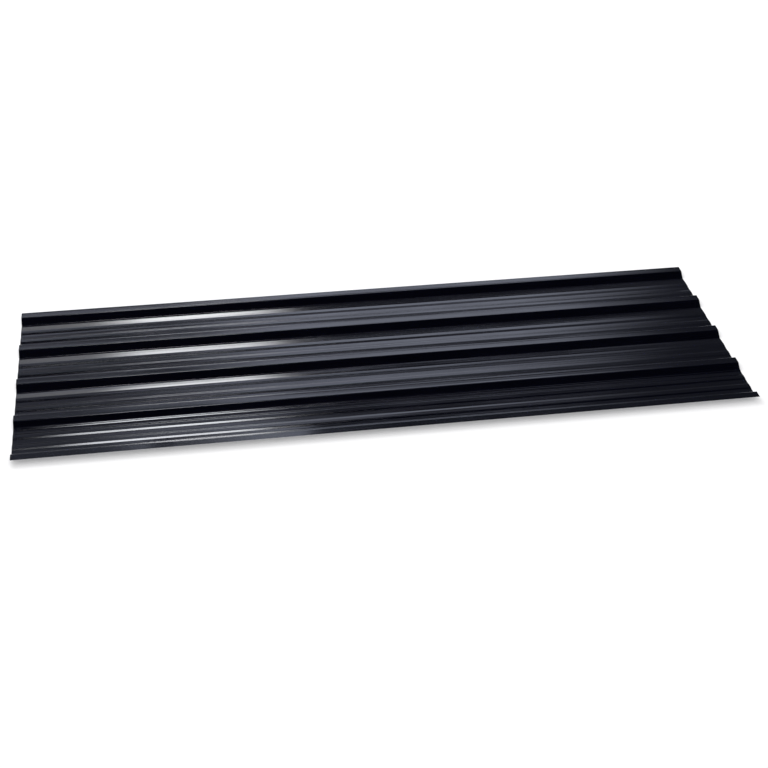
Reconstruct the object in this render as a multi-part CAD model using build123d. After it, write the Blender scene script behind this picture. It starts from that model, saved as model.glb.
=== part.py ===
"""Box-profile roofing sheet: one coil-coated steel sheet, roll-formed lengthwise and cut square.

Millimetres. X runs along the ribs, Y across them and Z is up. The sheet lies on its pans at
Z = 0, ribs up, centred on X and Y. Its section is drawn from +Y, the side of the full outer
rib, to -Y, the lapping edge, so each rib, pan and swage starts at its +Y side.
"""
from build123d import *
from math import atan2, sin
import os

# Stock
SHEET_LENGTH = 1290.0
SHEET_THICKNESS = 0.27

# Ribs
RIB_COUNT = 5
RIB_PITCH = 105.5
RIB_TOP_FLAT = 16.0
RIB_SLOPE_RUN = 13.0
RIB_HEIGHT = 9.7
RIB_FOLD_RADIUS = 2.5

# Lapping edge: the last rib ends on its top, which rests on the full outer rib of the next sheet
LAP_FLAT = 15.0

# Stiffening swages: low raised beads that keep the pans from drumming, placed across each pan
SWAGE_PLACES = (0.3, 0.74)
SWAGE_BASE = 17.0
SWAGE_TOP_FLAT = 8.0
SWAGE_HEIGHT = 1.0
SWAGE_FOLD_RADIUS = 4.0

# Worked out from the above
RIB_BASE = RIB_TOP_FLAT + 2 * RIB_SLOPE_RUN
PAN_WIDTH = RIB_PITCH - RIB_BASE
RIB_SLOPE_ANGLE = atan2(RIB_HEIGHT, RIB_SLOPE_RUN)
# The free edge of the outer rib is cut square to its slope, so its upper corner stands out
EDGE_LEAN = SHEET_THICKNESS * sin(RIB_SLOPE_ANGLE)
SHEET_WIDTH = (RIB_COUNT - 1) * RIB_PITCH + RIB_SLOPE_RUN + LAP_FLAT + EDGE_LEAN
FIRST_RIB_START = SHEET_WIDTH / 2 - EDGE_LEAN


def bead_corners(start, base, top_flat, height):
    """The four fold corners of a rib or swage, from foot to foot, as (y, z)."""
    slope_run = (base - top_flat) / 2
    return [
        (start, 0),
        (start - slope_run, height),
        (start - slope_run - top_flat, height),
        (start - base, 0),
    ]


def pan_corners(pan_start):
    """Fold corners of the swages in one pan."""
    corners = []
    for place in SWAGE_PLACES:
        swage_start = pan_start - place * PAN_WIDTH + SWAGE_BASE / 2
        corners += bead_corners(swage_start, SWAGE_BASE, SWAGE_TOP_FLAT, SWAGE_HEIGHT)
    return corners


def section_corners():
    """Every fold corner on the underside of the sheet, and the radius it is folded to."""
    corners = []
    radii = []
    for rib in range(RIB_COUNT - 1):
        rib_start = FIRST_RIB_START - rib * RIB_PITCH
        rib_folds = bead_corners(rib_start, RIB_BASE, RIB_TOP_FLAT, RIB_HEIGHT)
        pan_folds = pan_corners(rib_start - RIB_BASE)
        corners += rib_folds + pan_folds
        radii += [RIB_FOLD_RADIUS] * len(rib_folds) + [SWAGE_FOLD_RADIUS] * len(pan_folds)

    # The lapping rib has no outer slope: it stops at the end of its top
    lap_start = FIRST_RIB_START - (RIB_COUNT - 1) * RIB_PITCH
    lap_base = LAP_FLAT + 2 * RIB_SLOPE_RUN
    lap_folds = bead_corners(lap_start, lap_base, LAP_FLAT, RIB_HEIGHT)[:-1]
    corners += lap_folds
    radii += [RIB_FOLD_RADIUS] * len(lap_folds)

    # The first and last corners are the free edges, which are cut and not folded
    return corners, radii[1:-1]


def corrugated_sheet():
    """The folded underside, given its thickness and run out along the sheet."""
    corners, fold_radii = section_corners()
    with BuildPart() as sheet:
        with BuildSketch(Plane.YZ):
            with BuildLine():
                underside = FilletPolyline(*corners, radius=fold_radii)
                offset(underside, amount=SHEET_THICKNESS, side=Side.RIGHT, mode=Mode.ADD)
            make_face()
        extrude(amount=SHEET_LENGTH / 2, both=True)
    return sheet.part


os.makedirs("parts", exist_ok=True)
export_step(corrugated_sheet(), "parts/corrugated_sheet.step")
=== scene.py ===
"""Box-profile roofing sheet in dark coated steel, lying ribs up on a white studio floor.

Metres, in the part's own frame: X along the ribs, Y across them, Z up. The sheet's section is
given in millimetres, as a roll former would, and is turned into metres as the mesh is made.
It runs from +Y, the side of the full outer rib, to -Y, the lapping edge, so each rib, pan and
swage starts at its +Y side.
"""

import math
from typing import NamedTuple

import bpy
import numpy as np
from mathutils import Matrix, Vector


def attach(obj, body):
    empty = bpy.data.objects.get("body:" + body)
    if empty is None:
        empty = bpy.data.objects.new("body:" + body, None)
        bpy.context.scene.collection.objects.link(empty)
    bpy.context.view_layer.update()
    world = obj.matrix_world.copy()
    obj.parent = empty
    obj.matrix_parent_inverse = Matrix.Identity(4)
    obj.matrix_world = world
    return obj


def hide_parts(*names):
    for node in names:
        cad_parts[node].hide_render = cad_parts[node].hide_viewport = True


MM = 0.001

# Stock, in millimetres
SHEET_LENGTH = 1290.0
SHEET_THICKNESS = 0.27

# Ribs, and the top of the last one, which ends at the lapping edge
RIB_COUNT = 5
RIB_PITCH = 105.5
RIB_TOP_FLAT = 16.0
RIB_SLOPE_RUN = 13.0
RIB_HEIGHT = 9.7
RIB_FOLD_RADIUS = 2.5
LAP_FLAT = 15.0

# Stiffening swages, placed across each pan
SWAGE_PLACES = (0.3, 0.74)
SWAGE_BASE = 17.0
SWAGE_TOP_FLAT = 8.0
SWAGE_HEIGHT = 1.0
SWAGE_FOLD_RADIUS = 4.0

# Worked out from the above
RIB_BASE = RIB_TOP_FLAT + 2 * RIB_SLOPE_RUN
LAP_BASE = LAP_FLAT + 2 * RIB_SLOPE_RUN
PAN_COUNT = RIB_COUNT - 1
PAN_WIDTH = RIB_PITCH - RIB_BASE
SWAGE_SLOPE_RUN = (SWAGE_BASE - SWAGE_TOP_FLAT) / 2
FIRST_SWAGE_FOOT = SWAGE_PLACES[0] * PAN_WIDTH - SWAGE_BASE / 2
FIRST_SWAGE_CREST = FIRST_SWAGE_FOOT + SWAGE_SLOPE_RUN
LAST_SWAGE_FOOT = SWAGE_PLACES[-1] * PAN_WIDTH + SWAGE_BASE / 2
EDGE_LEAN = SHEET_THICKNESS * math.sin(math.atan2(RIB_HEIGHT, RIB_SLOPE_RUN))
SHEET_WIDTH = PAN_COUNT * RIB_PITCH + RIB_SLOPE_RUN + LAP_FLAT + EDGE_LEAN
FIRST_RIB_START = SHEET_WIDTH / 2 - EDGE_LEAN

# How finely the visible sheet is divided, and the bend from which an edge looks sharp, in degrees
FLAT_STEP = 1.6
FOLD_STEPS = 4
STATIONS_ALONG = 96
SHARP_BEND = 50.0

# Rolling and handling leave the sheet a little off its section, in millimetres. Where there is
# one value for each pan, the pan next to the full outer rib comes first.

# Fill before the first swage, as a share of what makes one even rise from the rib's foot to the
# swage's top, with how much it swells and over what length
FOOT_FILL = (1.0, 1.0, 0.78, 0.0)
FOOT_FILL_START = 0.4
FOOT_FILL_SWELL = 0.10
FOOT_FILL_SWELL_LENGTH = 190.0

# Height added to the swages, and how far the rolls have carried them towards the lapping edge
SWAGE_EXTRA = (0.0, 0.0, -0.02, 0.08)
SWAGE_DRIFT = (4.0, 4.0, 1.5, 0.0)
SWAGE_DRIFT_START = 1.0

# A lip along the foot of the rib and a slow rise of the pan to it. Both start up the rib's slope
FOOT_LIP = (0.0, 0.0, 0.0, 0.92)
FOOT_LIP_RUN = 3.8
PAN_RISE = (0.0, 0.0, 0.0, 0.55)
PAN_RISE_RUN = 45.0
LIP_START = 3.0

# The dish in the top of a whole rib, with where it starts, is full and ends, from the rib's middle
RIB_TOP_DISH = 0.07
RIB_TOP_DISH_PLACES = (-7.4, -4.0, 4.4, 7.4)

# The wave of the lapping rib, whose length is taken at half its height. The inner side of the
# rib's top sinks by all of it, and the foot of the rib rises by a share. The free edge droops
EDGE_WAVE = 0.75
EDGE_WAVE_MIDDLE = -290.0
EDGE_WAVE_LENGTH = 250.0
EDGE_WAVE_FOOT_SHARE = 0.45
EDGE_WAVE_FOOT_FADE = 8.0
EDGE_DROOP = 0.14

# Roll lines: fine ones over broad ones, which grow and fade in patches along X and Y
ROLL_LINE_DEPTH = 0.042
ROLL_LINE_SHARE = (1.0, 1.0, 1.0, 0.5)
FINE_LINE_SPACING = 3.1
FINE_LINE_SHARE = 0.55
BROAD_LINE_SPACING = 6.7
ROLL_LINE_CHANGE = 0.45
ROLL_LINE_PATCH = (260.0, 15.0)

# The slow wander of the pans, in patches along X and Y. It and the lines fade out near a rib
PAN_WANDER = 0.08
PAN_WANDER_PATCH = (150.0, 21.0)
PAN_EDGE_FADE = 4.0

# Where the random draws of all this start
RELIEF_SEED = 7

# The sheet's finishes, by their places in its list of materials
TOPCOAT = 0
BACKING = 1
CUT_EDGE = 2

# Studio, in metres. The floor lies just under the sheet. It is lifted towards white for the
# camera and the gloss, and fades to plain white between two distances from its middle
FLOOR_HALF = 8.0
FLOOR_GAP = 0.0002
FLOOR_LIFT = 0.22
FLOOR_FADE = (1.2, 2.6)
KEY_PLACE = (-0.9, 2.2, 2.1)
KEY_WIDTH = 2.4
KEY_DEPTH = 1.4
KEY_POWER = 42.0

# How bright the room is on a matt surface, and in the gloss by height: from so many degrees up
# to so many, from one brightness to the other
ROOM_LIGHT = 0.80
ROOM_HORIZON = (2.0, 12.0, 0.6, 0.08)
ROOM_CEILING = (52.0, 60.0, 1.0, 0.06)
ROOM_SKYLIGHT = (80.0, 86.0, 0.0, 0.5)

# Camera, read off the photograph's perspective: metres, degrees and millimetres of lens
CAMERA_PLACE = (-0.3529, -2.0506, 1.4734)
CAMERA_AZIMUTH = 10.09
CAMERA_TILT_DOWN = 36.45
CAMERA_ROLL = 1.43
CAMERA_LENS = 65.35
CAMERA_SENSOR = 36.0


class SoftBox(NamedTuple):
    """A window or lamp as the gloss mirrors it, in degrees of bearing and of height.

    A side fades over side_fade each way, and the top and bottom over end_fade. With a lean, the
    box drops by so many degrees of height for each degree to the right.
    """

    left: float
    right: float
    bottom: float
    top: float
    side_fade: float
    end_fade: float
    brightness: float
    lean: float = 0.0


WINDOWS = (
    # The pale strip behind the sheet, seen in the right half of the pans
    SoftBox(2.8, 20.5, 31.3, 36.4, 4.2, 0.8, 1.65, lean=0.16),
    # A small pane over the left end of the strip, and a fainter strip to its left
    SoftBox(-4.0, 4.6, 37.1, 39.6, 2.6, 0.8, 1.25),
    SoftBox(-12.0, 7.0, 29.5, 33.9, 3.0, 1.0, 0.7),
    # The wall under the strip, and the faint wall at the far left
    SoftBox(-0.5, 15.0, 6.0, 20.8, 5.0, 0.9, 0.85),
    SoftBox(-26.0, -4.0, 30.0, 42.0, 4.0, 4.0, 0.20),
    # A high window, for the near slopes of the swages
    SoftBox(-3.0, 31.0, 54.0, 59.0, 8.0, 1.4, 0.9, lean=0.10),
    # One window in each of the other walls, for the other sides of the ribs
    SoftBox(102.0, 138.0, 21.0, 39.0, 6.0, 6.0, 2.2),
    SoftBox(-133.0, -97.0, 21.0, 39.0, 6.0, 6.0, 2.2),
    SoftBox(156.0, 200.0, 18.0, 34.0, 6.0, 6.0, 2.0),
)
LAMPS = (
    # The lamp behind the left half, for the pale bands along the ribs, and its spill
    SoftBox(-2.6, 4.0, 21.0, 30.0, 1.5, 1.1, 8.0),
    SoftBox(-9.0, -2.6, 23.3, 30.0, 2.5, 1.1, 1.0),
    # The high lamp, for the bright lines of the pan next to the lapping edge
    SoftBox(-11.0, 6.8, 63.0, 74.0, 2.0, 0.6, 13.5),
)


class Maths:
    """A shader socket that Python's operators can work on. Each operator adds its Math node."""

    def __init__(self, shop, socket):
        self.shop = shop
        self.socket = socket

    def _with(self, operation, *others):
        return self.shop.node("ShaderNodeMath", {"operation": operation}, [self, *others])

    def __add__(self, other):
        return self._with("ADD", other)

    def __mul__(self, other):
        return self._with("MULTIPLY", other)

    def __sub__(self, other):
        return self._with("SUBTRACT", other)

    def __rsub__(self, other):
        return self.shop.node("ShaderNodeMath", {"operation": "SUBTRACT"}, [other, self])

    __radd__ = __add__
    __rmul__ = __mul__

    def absolute(self):
        return self._with("ABSOLUTE")

    def degrees(self):
        return self._with("DEGREES")

    def arcsine(self):
        return self._with("ARCSINE")

    def bearing(self, forward):
        """Angle of the direction (self, forward), from forward towards self."""
        return self._with("ARCTAN2", forward)

    def wrapped(self, high, low):
        return self._with("WRAP", high, low)

    def ramp(self, start, end, low=0.0, high=1.0):
        """Goes softly from low to high while self goes from start to end."""
        settings = {"interpolation_type": "SMOOTHSTEP", "clamp": True}
        return self.shop.node("ShaderNodeMapRange", settings, [self, start, end, low, high])


class Shop:
    """Makes nodes in one node tree and links them."""

    def __init__(self, tree):
        self.tree = tree
        tree.nodes.clear()

    def node(self, kind, settings=None, sockets=None, output=0):
        """A node of this kind. Its settings are set first, then its sockets by place or by name."""
        made = self.tree.nodes.new(kind)
        for name, value in (settings or {}).items():
            setattr(made, name, value)
        sockets = sockets or {}
        if not isinstance(sockets, dict):
            sockets = dict(enumerate(sockets))
        for name, value in sockets.items():
            if isinstance(value, Maths):
                self.tree.links.new(value.socket, made.inputs[name])
            else:
                made.inputs[name].default_value = value
        return Maths(self, made.outputs[output]) if made.outputs else None

    def place(self):
        """Where a point is on its piece, in metres."""
        return self.node("ShaderNodeTexCoord", output="Object")

    def ray(self, question):
        """1 for the rays that the question is true of, and 0 for others."""
        return self.node("ShaderNodeLightPath", output=question)

    def colour_mix(self, factor, first, second):
        """Goes from the first colour to the second as factor goes from 0 to 1."""
        # The node has like-named sockets for numbers too, so its colour sockets go by place
        colours = {"Factor": factor, 6: first, 7: second}
        return self.node("ShaderNodeMix", {"data_type": "RGBA"}, colours, output=2)

    def stretched_noise(self, stretch, detail, seed, roughness=0.5):
        """Noise over the piece, with its own number of lumps per metre along X, Y and Z."""
        multiply = {"operation": "MULTIPLY"}
        spread = self.node("ShaderNodeVectorMath", multiply, [self.place(), stretch])
        sockets = {"Vector": spread, "W": seed, "Scale": 1.0, "Detail": detail, "Roughness": roughness}
        return self.node("ShaderNodeTexNoise", {"noise_dimensions": "4D"}, sockets)

    def coat(self, sockets):
        """The last two nodes of a finish: its coat, and the material's output."""
        coat = self.node("ShaderNodeBsdfPrincipled", {}, sockets)
        self.node("ShaderNodeOutputMaterial", {}, {"Surface": coat})


def rgb(red, green, blue):
    return (red, green, blue, 1.0)


WHITE = rgb(1.0, 1.0, 1.0)


def bead_corners(start, base, top_flat, height):
    """The four fold corners of a rib or swage, from foot to foot, as (y, z)."""
    slope_run = (base - top_flat) / 2
    return [
        (start, 0.0),
        (start - slope_run, height),
        (start - slope_run - top_flat, height),
        (start - base, 0.0),
    ]


def pan_corners(pan_start):
    """Fold corners of the swages in one pan."""
    corners = []
    for place in SWAGE_PLACES:
        swage_start = pan_start - place * PAN_WIDTH + SWAGE_BASE / 2
        corners += bead_corners(swage_start, SWAGE_BASE, SWAGE_TOP_FLAT, SWAGE_HEIGHT)
    return corners


def section_corners():
    """Every fold corner on the underside of the sheet, and the radius it is folded to."""
    corners = []
    radii = []
    for rib in range(PAN_COUNT):
        rib_start = FIRST_RIB_START - rib * RIB_PITCH
        rib_folds = bead_corners(rib_start, RIB_BASE, RIB_TOP_FLAT, RIB_HEIGHT)
        pan_folds = pan_corners(rib_start - RIB_BASE)
        corners += rib_folds + pan_folds
        radii += [RIB_FOLD_RADIUS] * len(rib_folds) + [SWAGE_FOLD_RADIUS] * len(pan_folds)

    # The lapping rib has no outer slope: it stops at the end of its top
    lap_start = FIRST_RIB_START - PAN_COUNT * RIB_PITCH
    lap_folds = bead_corners(lap_start, LAP_BASE, LAP_FLAT, RIB_HEIGHT)[:-1]
    corners += lap_folds
    radii += [RIB_FOLD_RADIUS] * len(lap_folds)

    # The first and last corners are the free edges, which are cut and not folded
    return corners, radii[1:-1]


def turned(direction, angle):
    """A direction of the section turned by an angle, to the left where it is positive."""
    cosine = math.cos(angle)
    sine = math.sin(angle)
    y, z = direction
    return np.array([cosine * y - sine * z, sine * y + cosine * z])


def upward(run):
    """Square to the line and up, where the line runs this way."""
    return np.array([run[1], -run[0]])


def folded_line(corners, radii):
    """Points and upward normals along the folded underside: arcs at the folds, flats between."""
    points = [np.array(corner) for corner in corners]
    steps = [end - start for start, end in zip(points, points[1:])]
    runs = [step / np.linalg.norm(step) for step in steps]
    line = [points[0]]
    normals = [upward(runs[0])]

    def add_flat(end, run):
        start = line[-1]
        flat = end - start
        pieces = max(1, round(np.linalg.norm(flat) / FLAT_STEP))
        for piece in range(1, pieces + 1):
            line.append(start + flat * piece / pieces)
            normals.append(upward(run))

    for corner, radius, run_in, run_out in zip(points[1:], radii, runs, runs[1:]):
        sideways = run_in[0] * run_out[1] - run_in[1] * run_out[0]
        turn = math.atan2(sideways, run_in @ run_out)
        setback = radius * math.tan(abs(turn) / 2)
        arc_start = corner - run_in * setback
        add_flat(arc_start, run_in)
        spoke = upward(run_in) * math.copysign(radius, turn)
        centre = arc_start - spoke
        for step in range(1, FOLD_STEPS + 1):
            angle = turn * step / FOLD_STEPS
            line.append(centre + turned(spoke, angle))
            normals.append(upward(turned(run_in, angle)))
    add_flat(points[-1], runs[-1])
    return np.array(line), np.array(normals)


def smooth_step(values):
    """Goes smoothly from 0 to 1 as the values do."""
    t = np.clip(values, 0.0, 1.0)
    return t * t * (3 - 2 * t)


def between_knots(values, spacing):
    """How many even knots cover the values, the knot before each and its share of the next."""
    places = (values - values.min()) / spacing
    count = int(math.ceil(places.max())) + 3
    before = np.floor(places).astype(int)
    return count, before, smooth_step(places - before)


def smooth_noise(values, spacing, rng):
    """One smooth random line, with a random height between -1 and 1 at every knot."""
    count, before, share = between_knots(values, spacing)
    heights = rng.uniform(-1.0, 1.0, count)
    return heights[before] * (1 - share) + heights[before + 1] * share


def smooth_field(along, across, patch, rng):
    """A smooth random surface over the sheet, with lumps the size of the patch."""
    count_x, before_x, share_x = between_knots(along, patch[0])
    count_y, before_y, share_y = between_knots(across, patch[1])
    heights = rng.uniform(-1.0, 1.0, (count_x, count_y))
    lines = heights[:, before_y] * (1 - share_y) + heights[:, before_y + 1] * share_y
    share_x = share_x[:, None]
    return lines[before_x] * (1 - share_x) + lines[before_x + 1] * share_x


def from_foot(pan, across):
    """How far each point of the section lies from the foot of a pan, into the pan."""
    return FIRST_RIB_START - pan * RIB_PITCH - RIB_BASE - across


def swage_shape(inward):
    """0 to 1 over each swage of a pan, by the distance from the pan's foot."""
    shape = np.zeros(len(inward))
    for place in SWAGE_PLACES:
        off_middle = np.abs(inward - place * PAN_WIDTH)
        shape += smooth_step((SWAGE_BASE / 2 - off_middle) / SWAGE_SLOPE_RUN)
    return shape


def foot_fill(inward):
    """Height that makes one even rise from the rib's foot to the top of the first swage."""
    even_rise = SWAGE_HEIGHT * FIRST_SWAGE_FOOT / FIRST_SWAGE_CREST
    places = (FOOT_FILL_START, FIRST_SWAGE_FOOT, FIRST_SWAGE_CREST)
    return even_rise * np.interp(inward, places, (0.0, 1.0, 0.0))


def pan_relief(pan, inward):
    """What is alike all along one pan: its swages, its foot, and the top of the rib before it."""
    relief = SWAGE_EXTRA[pan] * swage_shape(inward)
    lip_places = (-LIP_START, 0.0, FOOT_LIP_RUN)
    relief += FOOT_LIP[pan] * np.interp(inward, lip_places, (0.0, 1.0, 0.0))
    rise = np.clip(1.0 - inward / PAN_RISE_RUN, 0.0, 1.0) ** 2
    rise *= np.interp(inward, (-LIP_START, 0.0), (0.0, 1.0))
    relief += PAN_RISE[pan] * rise
    past_rib = inward + RIB_BASE / 2
    relief -= RIB_TOP_DISH * np.interp(past_rib, RIB_TOP_DISH_PLACES, (0.0, 1.0, 1.0, 0.0))
    return relief


def edge_relief(along, across):
    """The wave of the lapping rib at each station, and the droop of its free edge."""
    from_edge = across + SHEET_WIDTH / 2
    lap_foot = LAP_FLAT + RIB_SLOPE_RUN
    places = (0.0, LAP_FLAT, lap_foot, lap_foot + EDGE_WAVE_FOOT_FADE)
    sag = np.interp(from_edge, places, (0.0, -1.0, EDGE_WAVE_FOOT_SHARE, 0.0))
    half_length = EDGE_WAVE_LENGTH / 2
    past_half_height = (np.abs(along - EDGE_WAVE_MIDDLE) - half_length) / half_length
    wave = EDGE_WAVE * smooth_step(0.5 - past_half_height)
    droop = EDGE_DROOP * np.clip(1.0 - from_edge / LAP_FLAT, 0.0, 1.0)
    return wave[:, None] * sag - droop


def rolled_relief(along, across):
    """Height that rolling adds at each station and each point of the section, in millimetres."""
    rng = np.random.default_rng(RELIEF_SEED)
    relief = edge_relief(along, across)
    pans = np.zeros(len(across))
    lined_pans = np.zeros(len(across))
    for pan in range(PAN_COUNT):
        inward = from_foot(pan, across)
        swell = 1.0 + FOOT_FILL_SWELL * smooth_noise(along, FOOT_FILL_SWELL_LENGTH, rng)
        relief += FOOT_FILL[pan] * swell[:, None] * foot_fill(inward)
        relief += pan_relief(pan, inward)
        from_rib = np.minimum(inward, PAN_WIDTH - inward)
        in_pan = smooth_step(from_rib / PAN_EDGE_FADE)
        pans += in_pan
        lined_pans += ROLL_LINE_SHARE[pan] * in_pan

    fine_lines = FINE_LINE_SHARE * smooth_noise(across, FINE_LINE_SPACING, rng)
    lines = fine_lines + smooth_noise(across, BROAD_LINE_SPACING, rng)
    change = 1.0 + ROLL_LINE_CHANGE * smooth_field(along, across, ROLL_LINE_PATCH, rng)
    relief += ROLL_LINE_DEPTH * lines * lined_pans * change
    wander = 1.0 + smooth_field(along, across, PAN_WANDER_PATCH, rng)
    relief += PAN_WANDER * wander * pans
    return relief


def swage_drift(across):
    """How far the rolls have carried each swage towards the lapping edge, in millimetres."""
    places = (SWAGE_DRIFT_START, FIRST_SWAGE_FOOT, LAST_SWAGE_FOOT, PAN_WIDTH - SWAGE_DRIFT_START)
    drift = np.zeros(len(across))
    for pan in range(PAN_COUNT):
        held = np.interp(from_foot(pan, across), places, (0.0, 1.0, 1.0, 0.0))
        drift += SWAGE_DRIFT[pan] * held
    return drift


def sheet_faces(stations, width):
    """Quads of both coated faces and of the cut edges all round, and the finish of each."""
    top = stations * width
    faces = []
    finishes = []

    def add(finish, *corners):
        faces.append(corners)
        finishes.append(finish)

    for station in range(stations - 1):
        for point in range(width - 1):
            here = station * width + point
            ahead = here + width
            add(BACKING, here, here + 1, ahead + 1, ahead)
            add(TOPCOAT, top + here, top + ahead, top + ahead + 1, top + here + 1)
    for station in range(stations - 1):
        outer = station * width
        lapping = outer + width - 1
        add(CUT_EDGE, outer, outer + width, top + outer + width, top + outer)
        add(CUT_EDGE, lapping, top + lapping, top + lapping + width, lapping + width)
    for first in range(width - 1):
        last = (stations - 1) * width + first
        add(CUT_EDGE, first, top + first, top + first + 1, first + 1)
        add(CUT_EDGE, last, last + 1, top + last + 1, top + last)
    return faces, finishes


def placed(thing):
    """Puts an object into the scene."""
    bpy.context.scene.collection.objects.link(thing)
    return thing


def make_sheet():
    """The whole sheet as one closed mesh: both coated faces and the cut edges all round."""
    corners, radii = section_corners()
    line, normals = folded_line(corners, radii)
    along = np.linspace(-SHEET_LENGTH / 2, SHEET_LENGTH / 2, STATIONS_ALONG)
    relief = rolled_relief(along, line[:, 0])
    drift = swage_drift(line[:, 0])
    stations, width = relief.shape

    def layer(lift):
        """The section at every station, lifted square to its line."""
        place = line + normals * lift
        grid = np.empty((stations, width, 3))
        grid[:, :, 0] = along[:, None]
        grid[:, :, 1] = place[:, 0] - drift
        grid[:, :, 2] = place[:, 1] + relief
        return grid.reshape(-1, 3) * MM

    points = np.concatenate([layer(0.0), layer(SHEET_THICKNESS)])
    faces, finishes = sheet_faces(stations, width)
    mesh = bpy.data.meshes.new("corrugated_sheet_skin")
    mesh.from_pydata(points.tolist(), [], faces)
    mesh.polygons.foreach_set("material_index", finishes)
    mesh.polygons.foreach_set("use_smooth", [True] * len(faces))
    mesh.set_sharp_from_angle(angle=math.radians(SHARP_BEND))
    mesh.update()
    mesh.validate()
    for material in (gloss_topcoat(), backing_coat(), cut_steel()):
        mesh.materials.append(material)
    return placed(bpy.data.objects.new("coated_sheet", mesh))


def new_material(name):
    material = bpy.data.materials.new(name)
    material.use_nodes = True
    return material, Shop(material.node_tree)


def gloss_topcoat():
    """Anthracite gloss polyester: fine orange peel, roll lines and a little haze."""
    material, shop = new_material("gloss_topcoat")
    peel = shop.stretched_noise((260.0, 420.0, 260.0), detail=2.0, seed=1.0)
    roll_lines = shop.stretched_noise((1.6, 330.0, 0.0), detail=3.0, seed=2.0, roughness=0.55)
    haze = shop.stretched_noise((7.0, 26.0, 7.0), detail=4.0, seed=3.0)
    deep_paint = rgb(0.0007, 0.0009, 0.0032)
    hazy_paint = rgb(0.0012, 0.0014, 0.0046)
    relief = peel * 0.05 + roll_lines * 0.95
    bump = {"Strength": 0.35, "Distance": 0.00006, "Height": relief}
    coat = {
        "Base Color": shop.colour_mix(haze.ramp(0.3, 0.7), deep_paint, hazy_paint),
        "Roughness": haze.ramp(0.35, 0.75, 0.08, 0.14) + peel * 0.02,
        "IOR": 1.55,
        "Specular Tint": rgb(0.90, 0.93, 1.0),
        "Coat Weight": 0.2,
        "Coat Roughness": 0.05,
        "Normal": shop.node("ShaderNodeBump", {}, bump),
    }
    shop.coat(coat)
    return material


def backing_coat():
    """Thin backing lacquer on the underside: dark grey and nearly matt."""
    material, shop = new_material("backing_coat")
    grain = shop.stretched_noise((700.0, 700.0, 700.0), detail=2.0, seed=4.0)
    streaks = shop.stretched_noise((2.0, 240.0, 0.0), detail=3.0, seed=5.0)
    thick_lacquer = rgb(0.050, 0.053, 0.060)
    thin_lacquer = rgb(0.078, 0.082, 0.090)
    bump = {"Strength": 0.3, "Distance": 0.00004, "Height": grain * 0.5 + streaks}
    coat = {
        "Base Color": shop.colour_mix(streaks.ramp(0.3, 0.7), thick_lacquer, thin_lacquer),
        "Roughness": streaks.ramp(0.3, 0.7, 0.42, 0.55),
        "Normal": shop.node("ShaderNodeBump", {}, bump),
    }
    shop.coat(coat)
    return material


def cut_steel():
    """Bare sheared edge: grey steel with a trace of zinc and dragged paint."""
    material, shop = new_material("cut_steel")
    shear = shop.stretched_noise((900.0, 900.0, 2500.0), detail=2.0, seed=6.0)
    dragged_paint = rgb(0.060, 0.062, 0.066)
    bare_steel = rgb(0.42, 0.43, 0.44)
    coat = {
        "Base Color": shop.colour_mix(shear.ramp(0.42, 0.62), dragged_paint, bare_steel),
        "Metallic": shear.ramp(0.4, 0.6, 0.2, 1.0),
        "Roughness": 0.38,
    }
    shop.coat(coat)
    return material


def white_floor():
    """Pale and shadowed near the sheet, plain white further off, and clear from below."""
    material, shop = new_material("white_floor")
    pale_grey = rgb(0.86, 0.86, 0.87)
    lit = shop.node("ShaderNodeBsdfDiffuse", {}, {"Color": pale_grey})
    lift = (shop.ray("Is Camera Ray") + shop.ray("Is Glossy Ray")) * FLOOR_LIFT
    lifted = shop.node("ShaderNodeEmission", {}, {"Color": WHITE, "Strength": lift})
    near = shop.node("ShaderNodeAddShader", {}, [lit, lifted])
    far = shop.node("ShaderNodeEmission", {}, {"Color": WHITE, "Strength": 1.0})
    length = {"operation": "LENGTH"}
    distance = shop.node("ShaderNodeVectorMath", length, [shop.place()], output="Value")
    from_above = shop.node("ShaderNodeMixShader", {}, [distance.ramp(*FLOOR_FADE), near, far])
    from_below = shop.node("ShaderNodeBsdfTransparent")
    back = shop.node("ShaderNodeNewGeometry", output="Backfacing")
    seen = shop.node("ShaderNodeMixShader", {}, [back, from_above, from_below])
    shop.node("ShaderNodeOutputMaterial", {}, {"Surface": seen})
    return material


def studio_floor():
    """A level white floor. Matt surfaces don't see it, so light reaches the sheet's underside."""
    mesh = bpy.data.meshes.new("studio_floor")
    half = FLOOR_HALF
    corners = [(-half, -half, 0.0), (half, -half, 0.0), (half, half, 0.0), (-half, half, 0.0)]
    mesh.from_pydata(corners, [], [(0, 1, 2, 3)])
    mesh.materials.append(white_floor())
    floor = placed(bpy.data.objects.new("studio_floor", mesh))
    floor.location.z = -FLOOR_GAP
    floor.visible_diffuse = False


def seen_box(box, bearing, height):
    """How bright a soft box is in the direction with this bearing and height."""
    half_width = (box.right - box.left) / 2
    half_height = (box.top - box.bottom) / 2
    turned_by = (bearing - (box.left + box.right) / 2).wrapped(180.0, -180.0)
    raised_by = height - (box.top + box.bottom) / 2 + turned_by * box.lean
    in_width = turned_by.absolute().ramp(half_width + box.side_fade, half_width - box.side_fade)
    in_height = raised_by.absolute().ramp(half_height + box.end_fade, half_height - box.end_fade)
    return in_width * in_height * box.brightness


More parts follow.
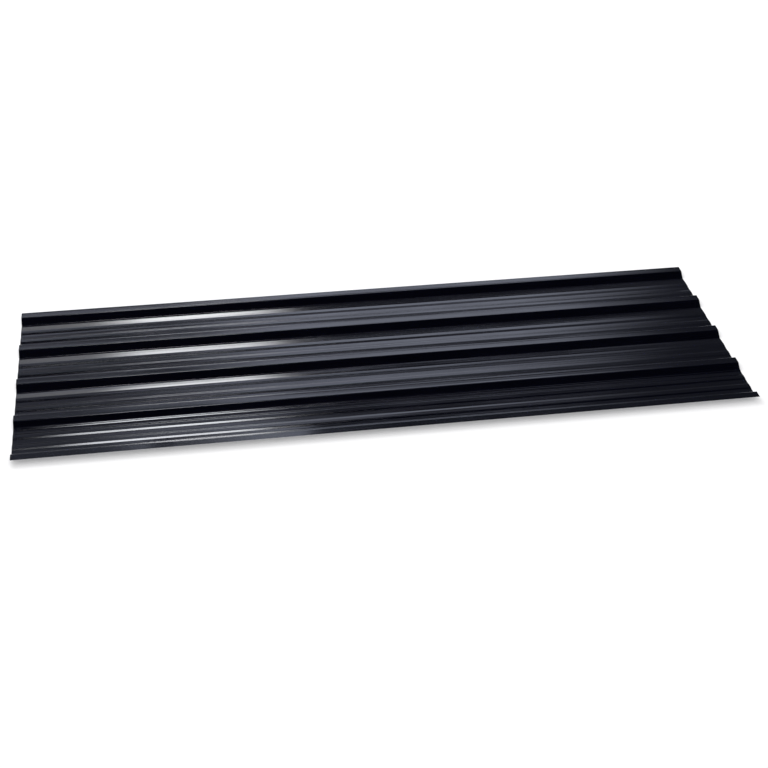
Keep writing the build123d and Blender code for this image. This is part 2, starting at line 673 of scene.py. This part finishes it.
def studio_world():
    """White to the camera, plain on matt surfaces, and in the gloss a room with soft boxes."""
    world = bpy.data.worlds.new("studio")
    bpy.context.scene.world = world
    world.use_nodes = True
    world.cycles.sampling_method = "NONE"
    shop = Shop(world.node_tree)
    direction = shop.node("ShaderNodeTexCoord", output="Generated")
    split = shop.node("ShaderNodeSeparateXYZ", {}, [direction]).socket.node
    east, north, up = (Maths(shop, split.outputs[axis]) for axis in "XYZ")
    height = up.arcsine().degrees()
    bearing = east.bearing(north).degrees()

    daylight = height.ramp(*ROOM_HORIZON) * height.ramp(*ROOM_CEILING)
    daylight = daylight + height.ramp(*ROOM_SKYLIGHT)
    for window in WINDOWS:
        daylight = daylight + seen_box(window, bearing, height)
    lamplight = seen_box(LAMPS[0], bearing, height)
    for lamp in LAMPS[1:]:
        lamplight = lamplight + seen_box(lamp, bearing, height)

    to_camera = shop.ray("Is Camera Ray")
    to_gloss = shop.ray("Is Glossy Ray")
    plain = to_camera + (1.0 - to_camera) * (1.0 - to_gloss) * ROOM_LIGHT
    cool_white = rgb(0.84, 0.885, 1.05)
    parts = (
        (WHITE, plain),
        (cool_white, to_gloss * daylight),
        (WHITE, to_gloss * lamplight),
    )
    sky = None
    for colour, level in parts:
        layer = shop.node("ShaderNodeBackground", {}, {"Color": colour, "Strength": level})
        sky = layer if sky is None else shop.node("ShaderNodeAddShader", {}, [sky, layer])
    shop.node("ShaderNodeOutputWorld", {}, {"Surface": sky})


def key_light():
    """One large soft box behind and to the left, for the shadow of the sheet on the floor."""
    lamp = bpy.data.lights.new("key_soft_box", "AREA")
    lamp.shape = "RECTANGLE"
    lamp.size = KEY_WIDTH
    lamp.size_y = KEY_DEPTH
    lamp.energy = KEY_POWER
    light = placed(bpy.data.objects.new("key_soft_box", lamp))
    light.location = KEY_PLACE
    light.rotation_euler = (-Vector(KEY_PLACE)).to_track_quat("-Z", "Y").to_euler()
    light.visible_camera = False
    light.visible_glossy = False


def photo_camera():
    """The camera, at the photograph's viewing angle."""
    camera = bpy.data.cameras.new("camera")
    camera.lens = CAMERA_LENS
    camera.sensor_width = CAMERA_SENSOR
    holder = placed(bpy.data.objects.new("camera", camera))
    bearing = math.radians(CAMERA_AZIMUTH)
    tilt = math.radians(CAMERA_TILT_DOWN)
    ahead = Vector(
        (math.sin(bearing) * math.cos(tilt), math.cos(bearing) * math.cos(tilt), -math.sin(tilt))
    )
    level = ahead.to_track_quat("-Z", "Y").to_matrix().to_4x4()
    roll = Matrix.Rotation(math.radians(CAMERA_ROLL), 4, "Z")
    holder.matrix_world = Matrix.Translation(CAMERA_PLACE) @ level @ roll
    bpy.context.scene.camera = holder


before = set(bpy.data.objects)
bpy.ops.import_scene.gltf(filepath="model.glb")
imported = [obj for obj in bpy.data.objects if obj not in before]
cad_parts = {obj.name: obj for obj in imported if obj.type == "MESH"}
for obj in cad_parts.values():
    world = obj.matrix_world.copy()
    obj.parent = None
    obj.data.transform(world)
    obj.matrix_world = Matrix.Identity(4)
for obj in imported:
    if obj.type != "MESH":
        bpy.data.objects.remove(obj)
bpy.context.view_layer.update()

sheet = make_sheet()
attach(sheet, "root")
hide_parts("corrugated_sheet")

studio_floor()
studio_world()
key_light()
photo_camera()
bpy.context.scene.view_settings.view_transform = "Standard"
